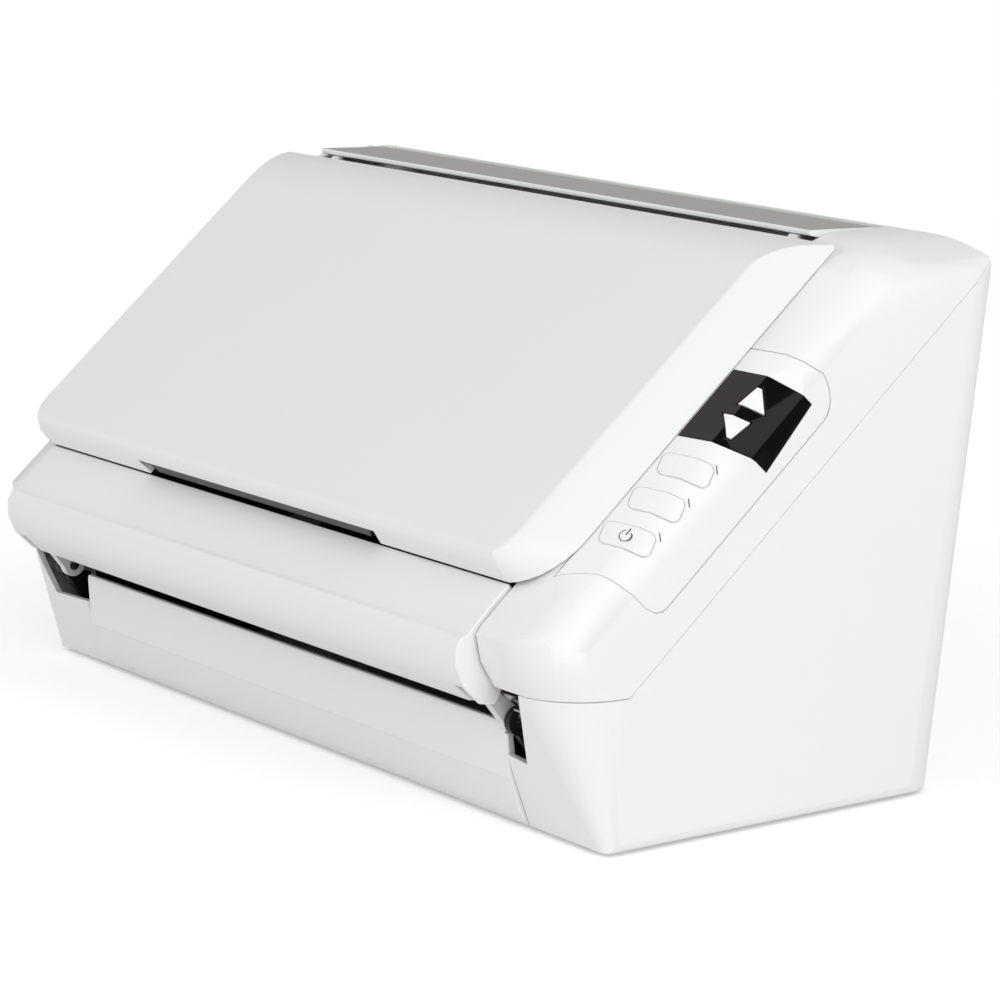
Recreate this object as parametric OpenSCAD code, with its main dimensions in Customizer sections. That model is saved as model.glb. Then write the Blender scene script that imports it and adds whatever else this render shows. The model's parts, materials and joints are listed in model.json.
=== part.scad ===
// Sheet fed document scanner for A4 and Letter paper, closed for storage.
// Design frame: X to the right, Y to the rear, Z up, origin at the middle of the front edge of the base.
// Slope frame: the same X, S up along the tray lid, N square to the lid.

/* [Housing] */
// Width of the widest sheet
sheet_w = 216; // [214:1:218]
// Width beside the sheets for chassis, hinges and side guides, on each side
channel_w = 18.6; // [18.4:0.1:19.4]
// Width of the right compartment, which holds the controls and the drive
right_bay = 31.4; // [30.6:0.2:34]
// Width of the left compartment
left_bay = 16.8; // [15.6:0.1:18]
// Depth of the housing at the base
base_d = 119.2; // [115:0.1:122]
// Height of the flat top of the housing
body_h = 158.2; // [157:0.2:162]
// Angle of the tray lid above the horizontal
slope = 40.2; // [39.6:0.1:41]
// Backward lean of the rear wall in degrees
rear_lean = 8.1; // [6:0.1:9]
// Height of the housing deck under the lid, square to the slope
deck_n = 60.6; // [60:0.1:61]
// Radius of the bend between the deck and the flat top
bend_r = 33; // [29:1:34]
// Radius of the rolled rear edge
roll_r = 18; // [14:0.5:20]
// Wall thickness of the housing mouldings
wall = 2.4; // [1.8:0.1:3]
// Gap at the seams between fixed mouldings
seam_gap = 0.3; // [0.1:0.05:0.5]
// Plan radius of the right front corner
corner_r = 20.8; // [17:0.2:21]
// Plan radius of the left front corner
left_corner_r = 13.5; // [8:0.5:14]
// Plan radius of the rear corners
rear_corner_r = 12.5; // [8:0.5:14]

/* [Front face] */
// Height of the seam between top cap and side cover at the front
seam_z = 43; // [41:0.5:45]
// How far the front face stands forward at that seam
seam_out = 15.5; // [14.5:0.5:16.5]
// Height of the crease in the caps
crease_z = 50.8; // [49.5:0.1:52]
// How far the caps stand forward at that crease
crease_out = 20; // [19.5:0.1:20.4]
// Height of the foremost edge of the caps
nose_z = 58.5; // [57.5:0.1:59]
// How far the caps stand forward at that edge
nose_out = 21.5; // [21:0.1:21.8]
// Height of the lower front panel
panel_h = 30.5; // [29:0.5:31.5]
// How far the top of the front panel stands forward
panel_out = 8; // [7:0.5:9]
// Height of the crease in the front panel
crease_h = 14; // [10:0.5:18]
// How far the right front pillar reaches in behind the door
right_lap = 5; // [4.6:0.1:5.4]
// How far the left front pillar reaches in behind the door
left_lap = 16.2; // [15:0.2:18]
// Height of the floor of the hinge notches
notch_z = 21; // [19:0.5:23]
// Height of the opening seen in each notch, from the middle of the sheets outwards, beyond the hinge
notch_over = 4; // [3.4:0.2:5]

/* [Tray] */
// How far the rim of the tray lid laps over each cap
lid_lap = 14.9; // [14:0.1:15.4]
// Height of the tray lid above its rim
lid_h = 11; // [10:0.5:12]
// Wall thickness of the tray lid
lid_wall = 2.2; // [1.6:0.1:2.6]
// Plan radius of the lower corners of the lid rim
lid_corner_r = 20; // [16:1:24]
// Radius of the rolled top end of the lid
lid_curl_r = 31; // [27:1:34]
// Gap at each side of the top plate
plate_gap = 0.5; // [0.3:0.1:1.5]
// Thickness of the top plate
plate_t = 2.4; // [1.8:0.1:2.6]
// Width of the slide out tray extension
extension_w = 124; // [116:1:130]
// Thickness of the tray extension
extension_t = 2.6; // [2:0.1:2.8]

/* [Front door] */
// Gap at each side of the front door
door_gap = 1; // [0.8:0.1:1.4]
// How far the nose of the door stands forward
door_out = 27.4; // [26:0.2:29]
// Wall thickness of the door
door_wall = 2.2; // [1.6:0.1:2.6]
// Radius of the door hinge pins
door_pin_r = 1.6; // [1.4:0.1:1.7]

/* [Paper path] */
// Height of the paper path, square to the slope
path_n = 35.5; // [35.3:0.05:35.7]
// How much wider than the sheets the paper guides are, on each side
guide_over = 3.5; // [2.5:0.1:3.8]
// Radius of the feed and pick roller tyres
feed_r = 7.5; // [7:0.1:7.8]
// Radius of the exit rollers
exit_r = 4; // [3.6:0.1:4]
// Radius of the separation roller
separation_r = 5.5; // [5:0.1:5.6]
// Radius of the feed and pick shafts
feed_shaft_r = 2.5; // [2:0.1:2.8]
// Radius of the exit shaft
exit_shaft_r = 1.9; // [1.6:0.1:1.9]
// Running clearance of shafts in their bushes
run_gap = 0.06; // [0.03:0.01:0.09]
// Module of the gears
gear_m = 0.8; // [0.78:0.01:0.8]

/* [Side guides] */
// Play of the widest sheet between the side guides
sheet_play = 2; // [0.5:0.1:3]
// Height of the side guide blades above the ramp
blade_h = 14; // [10:0.5:18]

/* [Hidden] */

$fn = 64;
bay_w = sheet_w + 2 * channel_w;
bay_x = bay_w / 2;
right_w = bay_x + right_bay;
left_w = bay_x + left_bay;
guide_w = sheet_w + 2 * guide_over;
guide_gap = sheet_w + sheet_play;
door_w = bay_w - 2 * door_gap;
plate_w = bay_w - 2 * plate_gap;
lid_rim_w = bay_w + 2 * lid_lap;
foot_out = 1.2;

// Door axis, rolled rear edge, and the middle of the whole housing
axis_y = -6.3;
axis_z = 31.7;
roll_z = body_h - roll_r;
roll_y = base_d + roll_z * tan(rear_lean) - roll_r / cos(rear_lean);
mid_x = (right_w - left_w) / 2;
mid_y = (roll_y + roll_r - door_out) / 2;

function sy(s, n) = s * cos(slope) - n * sin(slope);
function sz(s, n) = s * sin(slope) + n * cos(slope);
function sp(s, n) = [sy(s, n), sz(s, n)];
function s_at(y, z) = y * cos(slope) + z * sin(slope);
function n_at(y, z) = z * cos(slope) - y * sin(slope);
axis_s = s_at(axis_y, axis_z);
axis_n = n_at(axis_y, axis_z);

// Points of an arc about [cx, cy] from angle a0 to a1
function arc(cx, cy, r, a0, a1, steps) =
    [for (i = [0:steps]) let (a = a0 + (a1 - a0) * i / steps) [cx + r * cos(a), cy + r * sin(a)]];

module in_frame() { translate([-mid_x, -mid_y, foot_out]) children(); }
module on_slope() { in_frame() rotate([slope, 0, 0]) children(); }
// A [Y, Z] outline, or in the slope frame an [S, N] outline, run along X
module along_x(x0, x1) { translate([x0, 0, 0]) rotate([90, 0, 90]) linear_extrude(x1 - x0) children(); }
// An [X, N] outline run along S, or in the design frame an [X, Z] outline run along Y
module along_s(s0, s1) { translate([0, s1, 0]) rotate([90, 0, 0]) linear_extrude(s1 - s0) children(); }
// An [X, S] outline run along N, or in the design frame an [X, Y] outline run up Z
module along_n(n0, n1) { translate([0, 0, n0]) linear_extrude(n1 - n0) children(); }
module rod(x0, x1, r) { translate([x0, 0, 0]) rotate([0, 90, 0]) cylinder(r = r, h = x1 - x0); }
module both_sides() { children(); mirror([1, 0, 0]) children(); }
// The part of a disc between two directions
module sector(c, r, a0, a1) intersection() {
    translate(c) circle(r = r);
    polygon([c, c + 2 * r * [cos(a0), sin(a0)], c + 3 * r * [cos((a0 + a1) / 2), sin((a0 + a1) / 2)],
        c + 2 * r * [cos(a1), sin(a1)]]);
}

// ---------------------------------------------------------------- housing

function rear_y(z) = base_d + z * tan(rear_lean);
top_front_y = (body_h * cos(slope) - deck_n) / sin(slope);
bend_z = body_h - bend_r;
bend_y = (bend_z * cos(slope) - deck_n + bend_r) / sin(slope);
seam_n = 28.4;
seam_knee_y = (seam_z * cos(slope) - seam_n) / sin(slope);
cap_n = deck_n - 1.3;
front_lean = seam_out / seam_z;

// Side outline of the whole housing, moved in by t
module housing_outline(t) {
    polygon([[t + 2 * front_lean, -2], [t - seam_out, seam_z], [t - crease_out, crease_z], [t - nose_out, nose_z],
        sp(24, cap_n - 0.2 - t), sp(40, cap_n - t), sp(47, deck_n - t),
        [bend_y - (bend_r - t) * sin(slope), bend_z + (bend_r - t) * cos(slope)], [bend_y, body_h - t],
        [roll_y, body_h - t], [roll_y + (roll_r - t) * cos(rear_lean), roll_z - (roll_r - t) * sin(rear_lean)],
        [rear_y(-2) - t / cos(rear_lean), -2]]);
    sector([bend_y, bend_z], bend_r - t, 90, 90 + slope);
    sector([roll_y, roll_z], roll_r - t, -rear_lean, 90);
}

// How the shoulder falls away: [distance from the side, depth], on the slope and on the flat top
right_slope_edge = [[16.4, 0], [7.5, 3.6], [1, 12.6], [0, 32.2]];
right_crown_edge = [[21, 0], [12, 1.3], [2.2, 6.4], [0, 10]];
left_slope_edge = [[13.7, 0], [7, 4], [1.2, 8.6], [0, 14]];
left_crown_edge = [[13.7, 0], [7, 2.2], [1.2, 5.6], [0, 9]];
inset_x = [0.15, 0.45, 1, 1];
inset_d = [1, 0.9, 0.5, 0.3];
// Cross-section square to the direction a, which is 0 on the flat top, moved in by t, its flat part raised by lift
function shoulder(left, a, t, lift) = let (w = left ? left_w : right_w, k = a / slope,
    top = bend_z * cos(a) - bend_y * sin(a) + bend_r,
    e = (1 - k) * (left ? left_crown_edge : right_crown_edge) + k * (left ? left_slope_edge : right_slope_edge),
    p = [for (i = [0:3]) [w - e[i][0] - inset_x[i] * t, top - e[i][1] - inset_d[i] * t]],
    run = (p[1][0] - p[0][0]) / (p[0][1] - p[1][1])) concat([[0, p[0][1] + lift], [p[0][0] - run * lift, p[0][1] + lift]],
    lift > 0 ? [] : [p[0]], [p[1], p[2], p[3]], [[w - t, -200], [0, -200]]);
module shoulder_prism(left, a, t) { rotate([a, 0, 0]) along_s(-150, 320) polygon(shoulder(left, a, t, 0.3)); }

// Rounding of the front corner: it grows from the base to the seam, and keeps its radius above
module corner(left, x0, t, upper) {
    w = (left ? left_w : right_w) - t;
    r = (left ? left_corner_r : corner_r) - t;
    foot_r = max(2.6 - t, 0.3);
    front = upper ? [[seam_z - 1, seam_out - front_lean, r], [crease_z, crease_out, r], [nose_z, nose_out, r],
        [180, nose_out, r]] : [[-4, -4 * front_lean, foot_r], [seam_z, seam_out, r]];
    hull() {
        for (p = front) translate([w - p[2], t - p[1] + p[2], p[0] - 0.01]) cylinder(r = p[2], h = 0.01, $fn = 32);
        for (p = front) translate([x0 - 1, t - p[1], p[0] - 0.01]) cube([1, 60, 0.01]);
        for (p = front) translate([x0 - 1, 60, p[0] - 0.01]) cube([w - x0 + 1, 120, 0.01]);
    }
    if (!upper) translate([x0 - 1, -10, seam_z - 0.01]) cube([w - x0 + 1, 200, 140]);
}

// One side of the housing from x0 outwards, moved in by t; upper says which part of the front corner it has
module side_body(left, x0, t, upper) {
    w = left ? left_w : right_w;
    intersection() {
        along_x(x0, w - t) housing_outline(t);
        shoulder_prism(left, 0, t);
        shoulder_prism(left, 10, t);
        shoulder_prism(left, 20, t);
        shoulder_prism(left, 30, t);
        shoulder_prism(left, slope, t);
        corner(left, x0, t, upper);
        rotate([-rear_lean, 0, 0]) {
            back = base_d * cos(rear_lean) - t;
            translate([x0 - 1, -80, -40]) cube([w - rear_corner_r - x0 + 1, back + 80, 240]);
            translate([x0 - 1, -80, -40]) cube([w - t - x0 + 1, back + 80 - rear_corner_r + t, 240]);
            translate([w - rear_corner_r, back - rear_corner_r + t, -40]) cylinder(r = rear_corner_r - t, h = 240);
        }
    }
}
// The sloping shoulder alone, for what lies within the control strip
module strip_body(x0, t) {
    intersection() {
        rotate([slope, 0, 0]) along_s(20, 200) polygon(shoulder(false, slope, t, 0));
        translate([x0, -60, 0]) cube([right_w, 240, 200]);
    }
}

// Everything above the seam line, or below it when lower is true
module seam_side(lower) {
    gap = lower ? seam_gap : 0;
    line = [[-60, seam_z - gap], [seam_knee_y + gap * tan(slope / 2), seam_z - gap],
        [sy(260, seam_n - gap), sz(260, seam_n - gap)]];
    along_x(0, right_w + 5) polygon(concat(line, lower ? [[260, -20], [-60, -20]] : [[200, 260], [-60, 260]]));
}

plate_axis_y = roll_y - 3.8;
plate_axis_z = body_h - 2.5;
plate_pin_r = 1.5;

module top_cap(left) {
    boss_h = 4;
    difference() {
        intersection() {
            side_body(left, bay_x, 0, true);
            seam_side(false);
        }
        side_body(left, bay_x + wall, wall, true);
        // The inner wall hangs down only as far as the drive needs it open
        rotate([slope, 0, 0]) along_x(bay_x - 1, bay_x + wall + 1)
            polygon([[8, 0], [bend_s - 1.3, 0], [bend_s - 1.3, path_n + 6.5], [8, path_n + 6.5]]);
        translate([0, plate_axis_y, plate_axis_z]) rod(bay_x - 1, bay_x + 8, plate_pin_r + run_gap);
    }
    difference() {
        translate([0, plate_axis_y, plate_axis_z]) rod(bay_x + wall, bay_x + wall + boss_h, plate_pin_r + 0.9);
        translate([0, plate_axis_y, plate_axis_z]) rod(bay_x - 1, bay_x + 8, plate_pin_r + run_gap);
    }
}

boss_in = wall + 5;
boss_xs = [boss_in - left_w, right_w - boss_in];
boss_front_y = 22;
boss_rear_y = base_d - 16;
boss_r = 4;
screw_r = 1.4;
floor_t = 2.4;
floor_z = 0.4;
floor_top = floor_z + floor_t;

module side_cover(left) {
    w = left ? left_w : right_w;
    pillar_x = bay_x - (left ? left_lap : right_lap);
    notch_x = bay_x + notch_over;
    bevel = 1.4;
    boss_x = w - boss_in;
    difference() {
        intersection() {
            union() {
                side_body(left, bay_x, 0, false);
                intersection() {
                    side_body(left, pillar_x, 0, false);
                    translate([0, -60, -5]) cube([w, 62, 80]);
                }
            }
            seam_side(true);
            along_s(-60, 200) polygon([[0, 0], [w - bevel, 0], [w, 2.6], [w, 200], [0, 200]]);
        }
        side_body(left, pillar_x - 2, wall, false);
        // Notch for the door hinge
        along_s(-60, 4) polygon([[pillar_x - 2, notch_z + 1], [notch_x, notch_z], [notch_x + 7, seam_z + 1],
            [pillar_x - 2, seam_z + 1]]);
    }
    for (y = [boss_front_y, boss_rear_y]) difference() {
        union() {
            translate([boss_x, y, floor_top]) cylinder(r = boss_r, h = 12);
            translate([boss_x, y - 1.2, floor_top]) cube([w - wall - boss_x, 2.4, 12]);
        }
        translate([boss_x, y, floor_top - 1]) cylinder(r = screw_r, h = 11);
    }
}

// Face of the control insert: e runs across the shoulder, S up the slope
module press_frame() { rotate([0, 45, 0]) children(); }
lean_e = 0.3;
insert_e0 = (bay_x + 15 - deck_n) / sqrt(2) - 1.2;
insert_w = right_bay - 2.7;
insert_e1 = insert_e0 + insert_w;
insert_s0 = 44.2;
insert_l = 86.4;
insert_s1 = insert_s0 + insert_l;
module insert_region(g) {
    r1 = 9 - g;
    e1 = insert_e1 - g;
    polygon(concat([[insert_e0 + g, insert_s0 + g], [insert_e0 + 1.5, insert_s0 + 1.1 + g],
        [insert_e0 + 4.8, insert_s0 + 3.5 + g], [insert_e0 + 9.6, insert_s0 + 6.2 + g],
        [insert_e0 + 13.6, insert_s0 + 7.4 + g], [insert_e1 - 7.3, insert_s0 + 8 + g],
        [insert_e1 - 3.9, insert_s0 + 8.3 + g], [e1 - 1.4, insert_s0 + 9.6 + g], [e1 - 0.2, insert_s0 + 11.6 + g],
        [e1, insert_s0 + 14 + g]],
        arc(e1 - r1, insert_s1 + 6.2 - g - r1, r1, 0, 80, 6),
        [[insert_e0 + 15, insert_s1 + 5 - g], [insert_e0 + 9, insert_s1 + 3 - g], [insert_e0 + g, insert_s1 - g]]));
}
display_e0 = insert_e0 + 1;
display_s0 = insert_s1 - 33.3;
display_h = 26;
module display_region(g) {
    polygon([[display_e0 + g, display_s0 + g], [display_e0 + 9, display_s0 + 3 + g],
        [display_e0 + 21.4, display_s0 + 7.1 + g], [display_e0 + 25 - g, display_s0 + 7.6 + g],
        [display_e0 + 22.8 - g, display_s0 + display_h + 4.9 - g], [display_e0 + 19, display_s0 + display_h + 4.4 - g],
        [display_e0 + 10, display_s0 + display_h + 2.4 - g], [display_e0 + g, display_s0 + display_h - 0.6 - g]]);
}
button_e = insert_e0 + 9.3;
button_l = 14.4;
button_w = 7;
button_pitch = (insert_l - 60.6) / 2;
button_s0 = insert_s0 + 19.9;
button_gap = 0.3;
button_travel = 0.6;
arrow_e = insert_e0 + 11.8;
arrow_s = display_s0 + 15.4;
arrow_pitch = 9.4;
module button_region(i, g) {
    translate([button_e, button_s0 + i * button_pitch]) rotate(atan(lean_e)) {
        r = 2 + g;
        for (x = [-1, 1]) translate([x * (button_l / 2 - 2), 0]) {
            translate([0, button_w / 2 - 2]) circle(r = r);
            translate([0, 2 - button_w / 2]) circle(r = r);
        }
        square([button_l + 2 * g, button_w - 4], center = true);
        square([button_l - 4, button_w + 2 * g], center = true);
    }
}
module arrow_region(up, g) {
    side = up ? 1 : -1;
    tip = 3.9 + 1.6 * g;
    foot = 2.6 + g;
    wide = 3.9 + 1.6 * g;
    translate([arrow_e, arrow_s + side * arrow_pitch / 2]) rotate(atan(lean_e))
        polygon([[-wide, -side * foot], [wide, -side * foot], [0.7, side * tip], [-0.7, side * tip]]);
}
// Heights along the press axis: the outermost point of the strip, then the board and the feet of the buttons
press_high = (right_w + deck_n) / sqrt(2) + 10.4;
press_low = press_high - 47;
board_w = press_high - 33;
button_foot = board_w + 8.6;

module insert_shell(t_out, t_in) {
    difference() {
        strip_body(bay_x + wall, t_out);
        strip_body(bay_x, t_in);
    }
}
module pressed(h0, h1) { rotate([slope, 0, 0]) press_frame() translate([0, 0, h0]) linear_extrude(h1 - h0) children(); }

module right_top_cap() color("white") in_frame() {
    difference() {
        top_cap(false);
        pressed(press_low, press_high) insert_region(0);
    }
}
module left_top_cap() color("white") in_frame() mirror([1, 0, 0]) top_cap(true);
module right_side_cover() color("white") in_frame() side_cover(false);
module left_side_cover() color("white") in_frame() mirror([1, 0, 0]) side_cover(true);

post_r = 2.2;
post_spots = [[insert_e0 + 3, insert_s0 + 7], [insert_e1 - 6, insert_s0 + 15], [insert_e1 - 5, insert_s1 - 6],
    [insert_e0 + 4, insert_s1 - 2.6]];
module control_insert() color("white") in_frame() {
    difference() {
        intersection() {
            insert_shell(0, wall);
            pressed(press_low, press_high) insert_region(seam_gap);
        }
        pressed(press_low, press_high) display_region(0);
        pressed(press_low, press_high) for (i = [0:2]) button_region(i, button_gap);
    }
    intersection() {
        pressed(board_w + 1.6, press_high) for (p = post_spots) translate(p) circle(r = post_r);
        strip_body(bay_x + wall, wall);
    }
}
module display_window() color([0.03, 0.03, 0.035]) in_frame() difference() {
    intersection() {
        insert_shell(-0.15, wall - 0.4);
        pressed(press_low, press_high) display_region(0.15);
    }
    pressed(press_low, press_high) {
        arrow_region(true, button_gap);
        arrow_region(false, button_gap);
    }
}
module button_cap() intersection() {
    strip_body(bay_x + wall, -0.45);
    pressed(button_foot, press_high) children();
}
module button_power() color("white") in_frame() button_cap() button_region(0, 0);
module button_scan() color("white") in_frame() button_cap() button_region(1, 0);
module button_cancel() color("white") in_frame() button_cap() button_region(2, 0);
module button_up() color("white") in_frame() button_cap() arrow_region(true, 0);
module button_down() color("white") in_frame() button_cap() arrow_region(false, 0);

module control_board() color("darkgreen") in_frame() {
    pressed(board_w, board_w + 1.6) polygon([[insert_e0 + 0.5, insert_s0 + 4.5], [insert_e1 - 3, insert_s0 + 12],
        [insert_e1 - 3, insert_s1 + 1], [insert_e0 + 0.5, insert_s1 + 1]]);
    pressed(board_w + 1.6, button_foot - button_travel - 0.2) {
        for (i = [0:2]) translate([button_e, button_s0 + i * button_pitch]) square(5, center = true);
        for (i = [-1, 1]) translate([arrow_e, arrow_s + i * arrow_pitch / 2]) square(4, center = true);
    }
    // Two digit display under the window
    pressed(board_w + 1.6, board_w + 5.5) translate([display_e0 + 0.5, arrow_s - 8]) square([6, 16]);
}

// The rear wall and its rolled top edge between the caps
jack_x = 36;
jack_w = 9;
jack_h = 11;
usb_x = -36;
usb_w = 12;
usb_h = 11;
board_z = 9;
board_t = 1.6;
port_z = board_z + board_t;
module rear_section() difference() {
    union() {
        polygon([[rear_y(0) - wall / cos(rear_lean), 0], [rear_y(0), 0],
            [roll_y + roll_r * cos(rear_lean), roll_z - roll_r * sin(rear_lean)],
            [roll_y + (roll_r - wall) * cos(rear_lean), roll_z - (roll_r - wall) * sin(rear_lean)]]);
        difference() {
            sector([roll_y, roll_z], roll_r, -rear_lean - 1, 90);
            translate([roll_y, roll_z]) circle(r = roll_r - wall);
        }
    }
    // The top plate turns in front of it
    translate([0, roll_z]) square([plate_axis_y + 5.9, roll_r + 5]);
}
module rear_cover() color("white") in_frame() {
    x = bay_x - seam_gap;
    vent_pitch = 9;
    difference() {
        along_x(-x, x) rear_section();
        translate([jack_x - jack_w / 2 - 0.3, base_d - 20, port_z - 0.3]) cube([jack_w + 0.6, 40, jack_h + 0.6]);
        translate([usb_x - usb_w / 2 - 0.3, base_d - 20, port_z - 0.3]) cube([usb_w + 0.6, 40, usb_h + 0.6]);
        for (i = [-5:5]) translate([i * vent_pitch - 1.5, base_d - 20, 70]) cube([3, 60, 34]);
    }
}

// The lower front panel between the pillars, cut back at its top right corner for the door arm
module front_panel() color("white") in_frame() {
    crease_y = -0.75 * panel_out;
    difference() {
        along_x(seam_gap + left_lap - bay_x, bay_x - right_lap - seam_gap)
            polygon([[0, 0], [-3.2, 4], [crease_y, crease_h], [crease_y - 0.5, crease_h + 0.3],
                [0.6 - panel_out, panel_h - 1.5], [0.8 - panel_out, panel_h], [wall - panel_out, panel_h],
                [wall + crease_y, crease_h], [wall - 3.2, 4], [wall, 0]]);
        translate([arm_x - 0.4, -20, axis_z - door_pin_r - 2.8]) cube([20, 30, 20]);
    }
}

// ---------------------------------------------------------------- base

foot_r = 6;
foot_in = 24;
foot_xs = [foot_in - left_w, right_w - foot_in];
foot_ys = [13, base_d - 13];
boss_ys = [boss_front_y, boss_rear_y];
board_y0 = base_d - 59.5;
board_y1 = base_d - 3.5;
board_x = 62;
stud_r = 3;
module base_plate() color([0.85, 0.85, 0.85]) in_frame() difference() {
    union() {
        translate([seam_gap + wall - left_w, wall + 0.4, floor_z])
            cube([left_w + right_w - 2 * (wall + seam_gap), base_d - 2 * wall - 0.9, floor_t]);
        for (x = [-board_x + 5, board_x - 5]) for (y = [board_y0 + 5, board_y1 - 22])
            translate([x, y, floor_top - 0.01]) cylinder(r = stud_r, h = board_z - floor_top + 0.01);
    }
    for (x = foot_xs) for (y = foot_ys) translate([x, y, floor_z - 1]) cylinder(r = foot_r + 0.1, h = 2);
    for (x = boss_xs) for (y = boss_ys) {
        translate([x, y, floor_z - 1]) cylinder(r = screw_r + 0.2, h = 6);
        translate([x, y, floor_z - 1]) cylinder(r = 2.9, h = 2.2);
    }
    for (i = [-4:4]) translate([i * 10 - 1.5, 34, floor_z - 1]) cube([3, 12, 6]);
    // The rear corners follow the rounded corners of the side covers
    for (x = [-left_w, right_w]) translate([x, base_d, floor_z - 1]) rotate(45)
        cube([1.56 * rear_corner_r, 1.56 * rear_corner_r, 8], center = true);
}
module rubber_feet() color([0.15, 0.15, 0.15]) in_frame()
    for (x = foot_xs) for (y = foot_ys) translate([x, y, -foot_out]) cylinder(r = foot_r, h = foot_out + floor_z + 1);
module base_screws() color("silver") in_frame()
    for (x = boss_xs) for (y = boss_ys) translate([x, y, floor_z]) difference() {
        union() {
            cylinder(r = 2.7, h = 1.2);
            cylinder(r = screw_r - 0.05, h = 10);
        }
        translate([-0.4, -1.8, -1]) cube([0.8, 3.6, 1.6]);
        translate([-1.8, -0.4, -1]) cube([3.6, 0.8, 1.6]);
    }
module main_board() color("darkgreen") in_frame() {
    translate([-board_x, board_y0, board_z]) cube([2 * board_x, board_y1 - board_y0, board_t]);
    translate([-20, board_y0 + 14, port_z]) cube([18, 18, 1.6]);
    translate([14, board_y0 + 12, port_z]) cube([10, 14, 1.2]);
    translate([-50, board_y0 + 4, port_z]) cube([6, 30, 8]);
    translate([38, board_y0 + 14, port_z]) cylinder(r = 4, h = 12);
    translate([50, board_y0 + 20, port_z]) cylinder(r = 5, h = 14);
}
port_y = rear_y(port_z) - 0.4;
module dc_jack() color([0.1, 0.1, 0.1]) in_frame() {
    difference() {
        translate([jack_x - jack_w / 2, port_y - 13, port_z]) cube([jack_w, 13, jack_h]);
        translate([jack_x, port_y + 1, port_z + jack_h / 2]) rotate([90, 0, 0]) cylinder(r = 3.2, h = 11);
    }
    translate([jack_x, port_y - 0.8, port_z + jack_h / 2]) rotate([90, 0, 0]) cylinder(r = 1, h = 9.4);
}
module usb_port() color("silver") in_frame() {
    difference() {
        translate([usb_x - usb_w / 2, port_y - 15, port_z]) cube([usb_w, 15, usb_h]);
        translate([usb_x - usb_w / 2 + 1, port_y - 12, port_z + 1]) cube([usb_w - 2, 14, usb_h - 2]);
    }
    translate([usb_x - 2.8, port_y - 12.2, port_z + usb_h / 2 - 1.6]) cube([5.6, 9.5, 3.2]);
}

// ---------------------------------------------------------------- chassis and paper path

plate_in = guide_w / 2 + 0.5;
chassis_t = 3;
plate_out = plate_in + chassis_t;
exit_s = 21;
exit_n = path_n - exit_r;
feed_s = 46.2;
feed_n = path_n - feed_r;
pick_s = 72;
pick_n = feed_n;
bush_r = 3.6;
gear_x0 = bay_x + 0.6;
gear_w = 4;
ramp_s0 = 57;
ramp_s1 = s_at(plate_axis_y, plate_axis_z) - 14.5;
ramp_t = 2.4;
surface_n = path_n - 0.3;
ramp_under = surface_n - ramp_t;

// Teeth and places of the gears, all in one plane on the right side
exit_z = 12;
feed_z = 24;
pick_z = 24;
exit_idler_z = 16;
pick_idler_z = 14;
pinion_z = 12;
function pitch_r(z) = gear_m * z / 2;
// Centre of a gear that meshes with gears at p and q, on the lower side of the line between them
function between(p, q, rp, rq) = let (d = norm(q - p), u = (q - p) / d, a = (d * d + rp * rp - rq * rq) / (2 * d),
    h = sqrt(rp * rp - a * a)) p + a * u + h * [u[1], -u[0]];
feed_p = [feed_s, feed_n];
exit_p = [exit_s, exit_n];
pick_p = [pick_s, pick_n];
mesh_gap = 0.05;
exit_idler_p = between(exit_p, feed_p, pitch_r(exit_z + exit_idler_z) + mesh_gap,
    pitch_r(feed_z + exit_idler_z) + mesh_gap);
pick_idler_p = between(feed_p, pick_p, pitch_r(feed_z + pick_idler_z) + mesh_gap,
    pitch_r(pick_z + pick_idler_z) + mesh_gap);
motor_angle = -108;
motor_p = feed_p + (pitch_r(feed_z + pinion_z) + mesh_gap) * [cos(motor_angle), sin(motor_angle)];
function heading(p, q) = atan2(q[1] - p[1], q[0] - p[0]);
// Tooth phase of a gear of z2 teeth at q that meshes with one of z1 teeth and phase f1 at p
function phase(p, q, z1, z2, f1) = let (a = heading(p, q)) a + 180 + (a - f1) * z1 / z2 - 180 / z2;
feed_f = 0;
exit_idler_f = phase(feed_p, exit_idler_p, feed_z, exit_idler_z, feed_f);
exit_f = phase(exit_idler_p, exit_p, exit_idler_z, exit_z, exit_idler_f);
pick_idler_f = phase(feed_p, pick_idler_p, feed_z, pick_idler_z, feed_f);
pick_f = phase(pick_idler_p, pick_p, pick_idler_z, pick_z, pick_idler_f);
motor_f = phase(feed_p, motor_p, feed_z, pinion_z, feed_f);

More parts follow.
